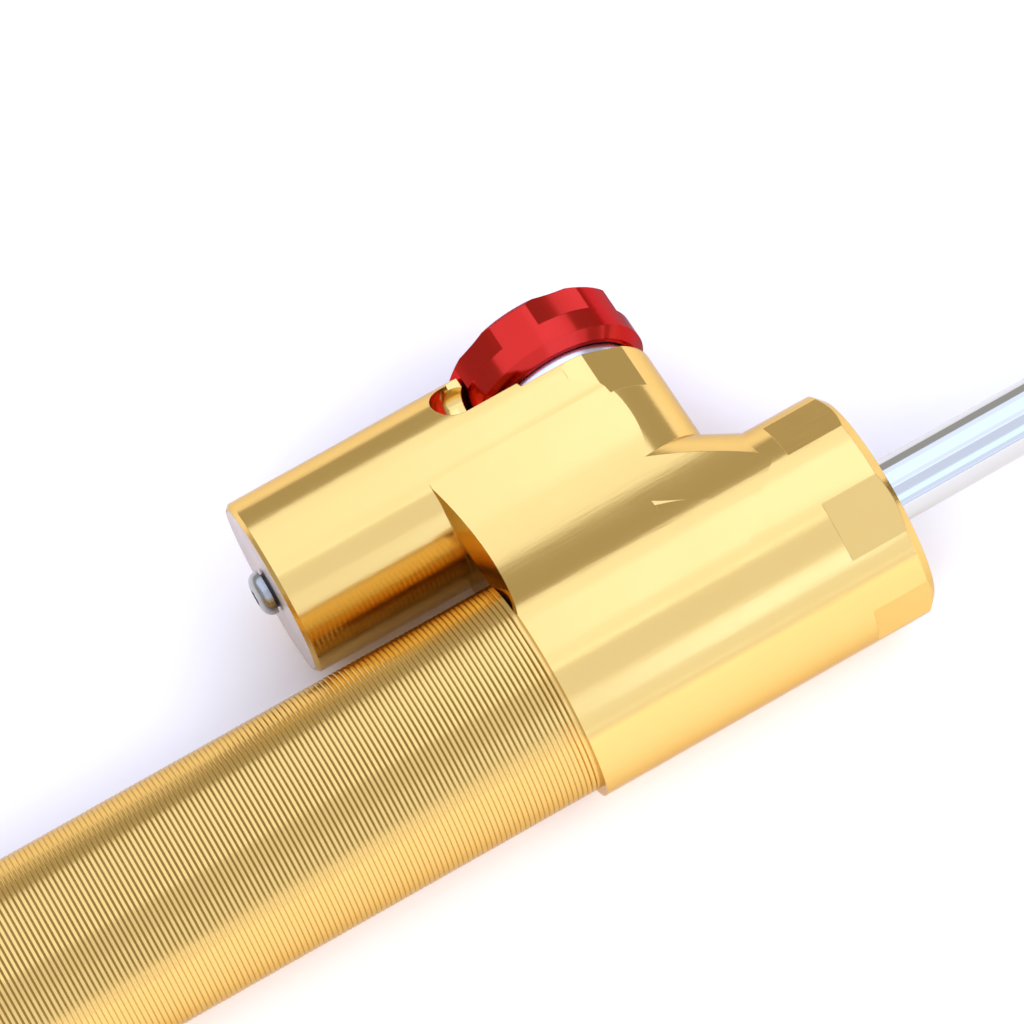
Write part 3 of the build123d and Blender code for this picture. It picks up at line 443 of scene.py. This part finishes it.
# %% [markdown]
# ## Marks and broken edges on a material
# A tool's marks are far too shallow to model, so they go into the Height of a Bump node.
# A machinist breaks every sharp edge, and the thin line of light on it is what the eye looks for.
# A bevel in the mesh would change the solid, so a Bevel node rounds the light on the edge
# and not the shape, and its normal feeds the bump.

# %% Marks helpers
EDGE_SAMPLES = 4


def placed(tree, group, place, values):
    """Places a shared group in a material, feeds it a place and sets its named inputs."""
    node = tree.nodes.new("ShaderNodeGroup")
    node.node_tree = group
    feed(tree, node.inputs["Vector"], place)
    for label, value in values.items():
        feed(tree, node.inputs[label], value)
    return node.outputs


def add_marks(tree, shader, place, turned_place, pitch, depth, milling, edge):
    """Adds the tool's marks as bump, and broken edges as a softened normal below it."""
    height = placed(tree, lathe_marks, turned_place, {"Lines per mm": pitch})["Height"]
    if milling:
        cuts = placed(tree, mill_marks, place, {"Lines per mm": MILLING_LINES_PER_MM})["Height"]
        height = maths(tree, "ADD", height, maths(tree, "MULTIPLY", cuts, milling))
    bump = tree.nodes.new("ShaderNodeBump")
    bump.inputs["Strength"].default_value = 1.0
    bump.inputs["Distance"].default_value = depth * MM
    feed(tree, bump.inputs["Height"], height)
    feed(tree, shader.inputs["Normal"], bump.outputs["Normal"])
    if edge:
        broken = tree.nodes.new("ShaderNodeBevel")
        broken.samples = EDGE_SAMPLES
        broken.inputs["Radius"].default_value = edge * MM
        feed(tree, bump.inputs["Normal"], broken.outputs["Normal"])


print("marks helpers:", [helper.__name__ for helper in (placed, add_marks)])

# %% [markdown]
# ## One maker for all finishes
# Most finishes on the damper differ only in colour, smoothness and the pitch of their marks.
# Each material could be built by hand, but one function makes them all from the shared groups,
# so that they stay alike. A thin clear coat stands for the oxide layer of anodised aluminium,
# and a dark edge tint keeps the coloured metal from turning white where it is seen edge-on.

# %% Finish function
materials = {}


def finish(name, colour, shade, smooth, rough, metallic=1.0, pitch=None, depth=0.0, coat=0.0,
           coat_roughness=0.15, centre=(0, 0, 0), turn=(0, 0, 0), clouds_per_mm=0.12, edge=None,
           edge_tint=(1.0, 1.0, 1.0), milling=None):
    """Makes a material; centre and turn bring the lathe's axis to X; depth and edge are in mm."""
    material = bpy.data.materials.new(name)
    material.use_nodes = True
    tree = material.node_tree
    shader = tree.nodes["Principled BSDF"]
    shader.inputs["Metallic"].default_value = metallic
    shader.inputs["Coat Weight"].default_value = coat
    shader.inputs["Coat Roughness"].default_value = coat_roughness
    shader.inputs["Specular Tint"].default_value = (*edge_tint, 1.0)
    place = tree.nodes.new("ShaderNodeTexCoord").outputs["Object"]
    worn = placed(tree, handling, place, {
        "Clouds per mm": clouds_per_mm,
        "Smooth": smooth,
        "Rough": rough,
        "Colour": (*colour, 1.0),
        "Shade": (*shade, 1.0),
    })
    feed(tree, shader.inputs["Base Color"], worn["Colour"])
    feed(tree, shader.inputs["Roughness"], worn["Roughness"])
    if pitch:
        mapping = tree.nodes.new("ShaderNodeMapping")
        mapping.vector_type = "TEXTURE"
        mapping.inputs["Location"].default_value = centre
        mapping.inputs["Rotation"].default_value = turn
        feed(tree, mapping.inputs["Vector"], place)
        add_marks(tree, shader, place, mapping.outputs["Vector"], pitch, depth, milling, edge)
    materials[name] = material


print("finish function:", finish.__name__)

# %% [markdown]
# ## The bright finishes
# Gold is used on the milled head, on the end cap and, a little deeper, on the turned tube.
# The knob is dyed red, the collar and the plug are left bare, and the rod is chromed and ground.
# Each colour has a darker shade for its clouds. They are typed as numbers and not painted,
# so that a change of one number changes every piece that wears the finish.

# %% Bright finishes
GOLD, GOLD_SHADE, GOLD_EDGE = (0.86, 0.565, 0.175), (0.83, 0.535, 0.155), (0.70, 0.60, 0.42)
TUBE_GOLD, TUBE_GOLD_SHADE = (0.82, 0.53, 0.16), (0.79, 0.50, 0.142)
RED, RED_SHADE, RED_EDGE = (0.62, 0.022, 0.012), (0.55, 0.016, 0.009), (0.30, 0.05, 0.06)
BARE, BARE_SHADE = (0.80, 0.79, 0.81), (0.72, 0.71, 0.74)
PLUG, PLUG_SHADE = (0.62, 0.52, 0.46), (0.55, 0.45, 0.39)
CHROME, CHROME_SHADE = (0.64, 0.62, 0.57), (0.60, 0.58, 0.53)
STEEL, STEEL_SHADE = (0.46, 0.45, 0.43), (0.36, 0.35, 0.33)
QUARTER = pi / 2
ROUND_ADJUSTER = {"centre": (knob_axis_x, 0, 0), "turn": (0, 0, QUARTER)}
ROUND_RESERVOIR = {"centre": (0, reservoir_axis_y, 0)}

finish("gold_head", GOLD, GOLD_SHADE, smooth=0.14, rough=0.19, pitch=5.0, depth=0.0005, coat=0.15,
       coat_roughness=0.12, edge=0.14, edge_tint=GOLD_EDGE, milling=14.0)
finish("gold_tube", TUBE_GOLD, TUBE_GOLD_SHADE, smooth=0.17, rough=0.23, pitch=7.0, depth=0.0004,
       coat=0.1, coat_roughness=0.15, edge_tint=GOLD_EDGE)
finish("red_knob", RED, RED_SHADE, smooth=0.16, rough=0.22, pitch=5.0, depth=0.0004, coat=0.2,
       coat_roughness=0.1, edge=0.20, edge_tint=RED_EDGE, **ROUND_ADJUSTER)
finish("bare_collar", BARE, BARE_SHADE, smooth=0.22, rough=0.30, pitch=6.0, depth=0.0008,
       **ROUND_ADJUSTER)
finish("bare_plug", PLUG, PLUG_SHADE, smooth=0.30, rough=0.40, pitch=5.0, depth=0.001,
       **ROUND_RESERVOIR)
finish("bare_inside", BARE, BARE_SHADE, smooth=0.25, rough=0.35, pitch=5.0, depth=0.0006)
finish("chrome_rod", CHROME, CHROME_SHADE, smooth=0.06, rough=0.09, pitch=12.0, depth=0.0001)
finish("stainless", STEEL, STEEL_SHADE, smooth=0.22, rough=0.32, pitch=5.0, depth=0.0006)
print("bright finishes:", sorted(materials))

# %% [markdown]
# ## The inner metals, rubbers and the liner
# Springs, seats, bushes and seals hardly show, but an opened damper would show them all, so they
# get finishes of their own. Rubber and the liner aren't metals, so their metallic value is zero.

# %% Inner finishes
SPRING, SPRING_SHADE = (0.20, 0.20, 0.21), (0.14, 0.14, 0.15)
BRASS, BRASS_SHADE = (0.83, 0.62, 0.27), (0.74, 0.53, 0.21)
BRONZE, BRONZE_SHADE = (0.60, 0.38, 0.20), (0.50, 0.30, 0.15)
NITRILE, NITRILE_SHADE = (0.018, 0.018, 0.019), (0.030, 0.030, 0.031)
WIPER, WIPER_SHADE = (0.030, 0.030, 0.034), (0.045, 0.045, 0.050)
LINER, LINER_SHADE = (0.72, 0.70, 0.62), (0.62, 0.60, 0.52)

finish("spring_steel", SPRING, SPRING_SHADE, smooth=0.30, rough=0.42, clouds_per_mm=0.6)
finish("brass", BRASS, BRASS_SHADE, smooth=0.22, rough=0.32, pitch=6.0, depth=0.0006,
       **ROUND_ADJUSTER)
finish("bronze", BRONZE, BRONZE_SHADE, smooth=0.34, rough=0.46, pitch=5.0, depth=0.0005)
finish("nitrile", NITRILE, NITRILE_SHADE, smooth=0.42, rough=0.58, metallic=0.0,
       clouds_per_mm=0.8)
finish("wiper", WIPER, WIPER_SHADE, smooth=0.36, rough=0.50, metallic=0.0, pitch=3.0,
       depth=0.0015, clouds_per_mm=0.8)
finish("liner", LINER, LINER_SHADE, smooth=0.40, rough=0.55, metallic=0.0, clouds_per_mm=0.5)
print("all finishes:", sorted(materials))

# %% [markdown]
# ## The grooves of the tube are painted darker than the lands, as painted shade where shade falls in them.
# Oil and dust stay in the grooves of the tube, and the cutter leaves them duller than the lands.
# A second material would need its own faces, but the distance out from the axis already tells
# a groove from a land, so it darkens the colour of the tube's own finish.

# %% Painted groove shade
GROOVE_DEPTH = 0.085 * MM
GROOVE_RIM_SHARE = 0.2
# colour multiplied into the groove bottoms: painted shade
GROOVE_PAINTED_SHADE = (0.62, 0.53, 0.41, 1.0)

tube_tree = materials["gold_tube"].node_tree
tube_shader = tube_tree.nodes["Principled BSDF"]
tube_colour = tube_shader.inputs["Base Color"].links[0].from_socket
tube_place = tube_tree.nodes.new("ShaderNodeTexCoord").outputs["Object"]
out_from_axis = along_and_out(tube_tree, tube_place)[1]
groove_shade_mask = tube_tree.nodes.new("ShaderNodeMapRange")
feed(tube_tree, groove_shade_mask.inputs["Value"], out_from_axis)
feed(tube_tree, groove_shade_mask.inputs["From Min"], tube_radius - GROOVE_DEPTH)
feed(tube_tree, groove_shade_mask.inputs["From Max"], tube_radius - GROOVE_RIM_SHARE * GROOVE_DEPTH)
feed(tube_tree, groove_shade_mask.inputs["To Min"], 1.0)
feed(tube_tree, groove_shade_mask.inputs["To Max"], 0.0)
# the tube's colour is darkened towards each groove's bottom: painted shade
darker = mixed(tube_tree, "MULTIPLY", groove_shade_mask.outputs["Result"], tube_colour, GROOVE_PAINTED_SHADE)
feed(tube_tree, tube_shader.inputs["Base Color"], darker)
print("groove tone on:", materials["gold_tube"].name)

# %% [markdown]
# ## Dressing the solids
# A solid keeps its mesh: only its material slot is filled. Forty lines could do that one by one,
# but a table names the finish of every piece, so that a piece which is left out shows up at once.

# %% Table of finishes
FINISH_OF = {
    "gold_head": ["head_body", "end_cap"],
    "gold_tube": ["outer_tube"],
    "bare_inside": ["inner_tube", "damper_piston", "floating_piston"],
    "bare_collar": ["adjuster_collar"],
    "bare_plug": ["reservoir_plug"],
    "red_knob": ["adjuster_knob"],
    "chrome_rod": ["piston_rod"],
    "stainless": [
        "gland_washers", "needle_valve", "click_balls", "knob_screw", "bleed_screw",
        "jam_nut", "rod_end_body", "rod_end_ball",
    ],
    "spring_steel": [
        "front_retaining_ring", "rear_retaining_ring", "piston_clips", "click_springs",
        "reservoir_spring",
    ],
    "brass": ["valve_seat"],
    "bronze": ["front_guide_bush", "rear_guide_bush", "rod_end_race"],
    "nitrile": [
        "tube_orings", "cylinder_orings", "front_rod_seal", "rear_rod_seal", "piston_oring",
        "needle_oring", "collar_oring", "plug_oring", "bleed_washer", "floating_piston_oring",
    ],
    "wiper": ["front_dust_wiper", "rear_dust_wiper"],
    "liner": ["piston_band"],
}
for finish_name, members in FINISH_OF.items():
    for member in members:
        node = nodes[member]
        node.data.materials.clear()
        node.data.materials.append(materials[finish_name])
dressed = sum(len(members) for members in FINISH_OF.values())
print("dressed:", dressed, "of", len(nodes))

# %% [markdown]
# ## Spinning a turned piece
# Turned pieces are solids of revolution: the wall's profile is drawn once beside the axis
# and spun all the way round. A Screw modifier could do it too, but the operator leaves a plain
# mesh whose doubles can be merged at once. Edges sharper than an angle keep their crease.

# %% Spin helpers
MERGE_DISTANCE = 1e-7
SHARP_ANGLE = radians(20)


def mesh_from(name, form):
    """Turns a finished bmesh into a mesh and frees it."""
    mesh = bpy.data.meshes.new(name)
    form.to_mesh(mesh)
    form.free()
    return mesh


def spun(name, profile, segments):
    """Spins a closed profile of (along, out) points round the X axis and returns the mesh."""
    form = bmesh.new()
    points = [form.verts.new((along, out, 0)) for along, out in profile]
    edges = [form.edges.new(pair) for pair in zip(points, points[1:] + points[:1])]
    bmesh.ops.spin(
        form,
        geom=points + edges,
        cent=(0, 0, 0),
        axis=(1, 0, 0),
        angle=2 * pi,
        steps=segments,
        use_merge=True,
    )
    bmesh.ops.remove_doubles(form, verts=form.verts, dist=MERGE_DISTANCE)
    bmesh.ops.recalc_face_normals(form, faces=form.faces)
    return mesh_from(name, form)


def smooth_with_edges(mesh):
    """Shades a mesh smoothly, and keeps the edges that turn by more than the sharp angle."""
    mesh.polygons.foreach_set("use_smooth", [True] * len(mesh.polygons))
    mesh.set_sharp_from_angle(angle=SHARP_ANGLE)


print("spin helpers:", [helper.__name__ for helper in (mesh_from, spun, smooth_with_edges)])

# %% [markdown]
# ## The grooved tube
# The tube's outside isn't smooth: more than a hundred fine grooves run round it, and each one
# catches the light. Bump alone would leave the tube's outline straight, so the grooves are real.
# Each groove is three points of the profile: its two rims and its bottom.

# %% Grooved tube
GROOVE_PITCH = 0.64 * MM
GROOVE_SHARE = 0.5
PLAIN_MARGIN = 0.1 * MM
TUBE_SEGMENTS = 96
SPIGOT_RADIUS = 12.1 * MM
TUBE_BORE_RADIUS = 11.3 * MM
SPIGOT_LENGTH = 8.0 * MM

bare_half = tube_high.x - SPIGOT_LENGTH
groove_count = int((2 * bare_half - 2 * PLAIN_MARGIN) / GROOVE_PITCH)
groove_start = -groove_count * GROOVE_PITCH / 2
groove_width = GROOVE_PITCH * GROOVE_SHARE
outside = [(-bare_half, tube_radius)]
for index in range(groove_count):
    left = groove_start + index * GROOVE_PITCH
    outside.append((left + (GROOVE_PITCH - groove_width) / 2, tube_radius))
    outside.append((left + GROOVE_PITCH / 2, tube_radius - GROOVE_DEPTH))
    outside.append((left + (GROOVE_PITCH + groove_width) / 2, tube_radius))
outside.append((bare_half, tube_radius))
tube_profile = [
    (tube_low.x, SPIGOT_RADIUS),
    (-bare_half, SPIGOT_RADIUS),
    *outside,
    (bare_half, SPIGOT_RADIUS),
    (tube_high.x, SPIGOT_RADIUS),
    (tube_high.x, TUBE_BORE_RADIUS),
    (tube_low.x, TUBE_BORE_RADIUS),
]
tube_mesh = spun("grooved_tube", tube_profile, TUBE_SEGMENTS)
tube_mesh.materials.append(materials["gold_tube"])
smooth_with_edges(tube_mesh)
grooved_tube = new_object("grooved_tube", tube_mesh)
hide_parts("outer_tube")
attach(grooved_tube, "housing")
print("grooves:", groove_count, "faces:", len(tube_mesh.polygons))

# %% [markdown]
# ## Outlines of a screw
# Seen from its end, a screw is a set of rings, some round and one six-sided. A ring of points
# can take either outline if the outline is a function that gives a radius for every angle.

# %% Outlines


def circle(radius):
    """Returns a function that gives the same radius for every angle."""
    return lambda angle: radius


def hexagon(half_across):
    """Returns a function that gives a hexagon's radius for every angle."""
    sector = pi / 3
    return lambda angle: half_across / cos((angle + sector / 2) % sector - sector / 2)


def shape_ring(verts, along, radius_at):
    """Moves a ring of points to a distance along the axis and to an outline."""
    for vert in verts:
        angle = atan2(vert.co.z, vert.co.y)
        radius = radius_at(angle)
        vert.co = (along, radius * cos(angle), radius * sin(angle))


print("outlines:", [helper.__name__ for helper in (circle, hexagon, shape_ring)])

# %% [markdown]
# ## Extruding ring by ring
# A screw head is round outside and six-sided inside, so a plain spin can't make it, and cutting
# the socket with a Boolean would leave long thin faces on the dome. Instead, the rim of a disc
# is extruded again and again, and after each step the new ring is moved to its own outline.

# %% Ring helper
RING_POINTS = 72
SOCKET_HALF = 1.0 * MM


def ringed(name, rings, place):
    """Extrudes a disc's rim through rings, each a distance along the axis and an outline."""
    form = bmesh.new()
    stand_up = Matrix.Rotation(pi / 2, 4, "Y")
    bmesh.ops.create_circle(
        form, cap_ends=True, radius=SOCKET_HALF, segments=RING_POINTS, matrix=stand_up
    )
    shape_ring(form.verts, *rings[0])
    rim = form.edges[:]
    for along, radius_at in rings[1:]:
        grown = bmesh.ops.extrude_edge_only(form, edges=rim)["geom"]
        rim = [item for item in grown if isinstance(item, bmesh.types.BMEdge) and item.is_boundary]
        verts = [item for item in grown if isinstance(item, bmesh.types.BMVert)]
        shape_ring(verts, along, radius_at)
    bmesh.ops.edgeloop_fill(form, edges=rim)
    bmesh.ops.recalc_face_normals(form, faces=form.faces)
    bmesh.ops.transform(form, matrix=place, verts=form.verts)
    return mesh_from(name, form)


print("ring helper:", ringed.__name__, "with", RING_POINTS, "points a ring")

# %% [markdown]
# ## A button-head screw
# A button head is a low dome with a hexagon socket. The rings go from the socket's floor up its
# walls, over the dome and down the shank, so the whole screw is one closed skin.
# The dome's rings follow a quarter of an ellipse, which is close to the real curve.

# %% Button screw
SOCKET_RIM = 1.35 * SOCKET_HALF
SOCKET_DEPTH = 0.9 * MM
HEAD_EDGE = 0.35 * MM
DOME_STEPS = 9


def button_screw(name, head_radius, head_height, shank_radius, shank_length, place):
    """Makes a button-head screw; its head's underside is at 0 and its head points along -X."""
    rings = [
        (-head_height + SOCKET_DEPTH, hexagon(SOCKET_HALF)),
        (-head_height, hexagon(SOCKET_HALF)),
        (-head_height, circle(SOCKET_RIM)),
    ]
    for step in range(1, DOME_STEPS + 1):
        slope = step / DOME_STEPS * pi / 2
        radius = SOCKET_RIM + (head_radius - SOCKET_RIM) * sin(slope)
        along = -head_height + (head_height - HEAD_EDGE) * (1 - cos(slope))
        rings.append((along, circle(radius)))
    rings += [
        (0, circle(head_radius)),
        (0, circle(shank_radius)),
        (shank_length, circle(shank_radius)),
    ]
    mesh = ringed(name, rings, place)
    smooth_with_edges(mesh)
    mesh.materials.append(materials["stainless"])
    return mesh


print("screw helper:", button_screw.__name__)

# %% [markdown]
# ## The two screws
# The bleed screw closes the reservoir's plug and stands on its rubber washer, and the knob screw
# holds the knob on the needle. The heads of their solids are chamfered straight, and the light
# shows that, so each solid is replaced by a domed screw that takes its sizes from the solid's box.

# %% Bleed screw and knob screw
BLEED_SCREW_SHANK = 1.5 * MM
KNOB_SCREW_SHANK = 1.2 * MM
KNOB_SCREW_HEAD = 1.65 * MM

bleed_low, bleed_high = box_of("bleed_screw")
washer_low = box_of("bleed_washer")[0]
bleed_mesh = button_screw(
    "domed_bleed_screw",
    head_radius=(bleed_high.z - bleed_low.z) / 2,
    head_height=washer_low.x - bleed_low.x,
    shank_radius=BLEED_SCREW_SHANK,
    shank_length=bleed_high.x - washer_low.x,
    place=Matrix.Translation((washer_low.x, reservoir_axis_y, 0)),
)
bleed_piece = new_object("domed_bleed_screw", bleed_mesh)
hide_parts("bleed_screw")
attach(bleed_piece, "housing")

screw_low, screw_high = box_of("knob_screw")
head_underside = Matrix.Translation((knob_axis_x, screw_high.y - KNOB_SCREW_HEAD, 0))
knob_screw_mesh = button_screw(
    "domed_knob_screw",
    head_radius=(screw_high.x - screw_low.x) / 2,
    head_height=KNOB_SCREW_HEAD,
    shank_radius=KNOB_SCREW_SHANK,
    shank_length=screw_high.y - screw_low.y - KNOB_SCREW_HEAD,
    place=head_underside @ Matrix.Rotation(-QUARTER, 4, "Z"),
)
knob_screw_piece = new_object("domed_knob_screw", knob_screw_mesh)
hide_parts("knob_screw")
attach(knob_screw_piece, "knob")
print("screw heads:", bleed_piece.name, knob_screw_piece.name)

# %% [markdown]
# ## The wipers' lips
# A dust wiper ends in a thin lip that leans on the rod. The solid has only a plain collar there.
# Carving the collar would be slow, so each wiper is spun again from a new profile,
# with the lip's slope and a small groove behind it.

# %% Wipers
WIPER_SEGMENTS = 72
ROD_OPENING = 4.05 * MM
LIP_TIP = 0.35 * MM
LIP_FOOT = 0.25 * MM
LIP_LENGTH = 1.0 * MM
LIP_RADIUS = 5.6 * MM


def wiper(name, inner_x, outer_x):
    """Spins a wiper between its inner face and the tip of its lip."""
    way = 1 if outer_x > inner_x else -1
    radius = box_of(name)[1].z
    face_x = outer_x - way * LIP_LENGTH
    profile = [
        (inner_x, ROD_OPENING),
        (outer_x, ROD_OPENING),
        (outer_x, ROD_OPENING + LIP_TIP),
        (face_x, LIP_RADIUS - LIP_FOOT),
        (face_x - way * LIP_FOOT, LIP_RADIUS),
        (face_x, LIP_RADIUS + 2 * LIP_FOOT),
        (face_x, radius),
        (inner_x, radius),
    ]
    mesh = spun("lipped_" + name, profile, WIPER_SEGMENTS)
    smooth_with_edges(mesh)
    mesh.materials.append(materials["wiper"])
    piece = new_object("lipped_" + name, mesh)
    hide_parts(name)
    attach(piece, "housing")
    return piece


front_low, front_high = box_of("front_dust_wiper")
rear_low, rear_high = box_of("rear_dust_wiper")
wipers = [
    wiper("front_dust_wiper", front_low.x, front_high.x),
    wiper("rear_dust_wiper", rear_high.x, rear_low.x),
]
print("wipers:", [piece.name for piece in wipers])

# %% [markdown]
# ## Springs that give way
# The steel springs are copied with their doubles merged, and shaded smoothly.


def giving_spring(name):
    """Copies a spring with its doubles merged and smooth shading, and hides the solid."""
    form = bmesh.new()
    form.from_mesh(nodes[name].data)
    bmesh.ops.remove_doubles(form, verts=form.verts, dist=MERGE_DISTANCE)
    mesh = mesh_from("giving_" + name, form)
    smooth_with_edges(mesh)
    mesh.materials.append(materials["spring_steel"])
    piece = new_object("giving_" + name, mesh)
    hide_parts(name)
    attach(piece, "housing")
    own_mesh(piece)
    return piece


springs = [
    giving_spring("reservoir_spring"),
    giving_spring("click_springs"),
]
print("springs:", [piece.name for piece in springs])

# %% [markdown]
# ## The last step
# The box of the solids is printed. The visual model has to stay inside the box of the
# solids.

# %% Box of the solids
print("solid box:", solid_box)
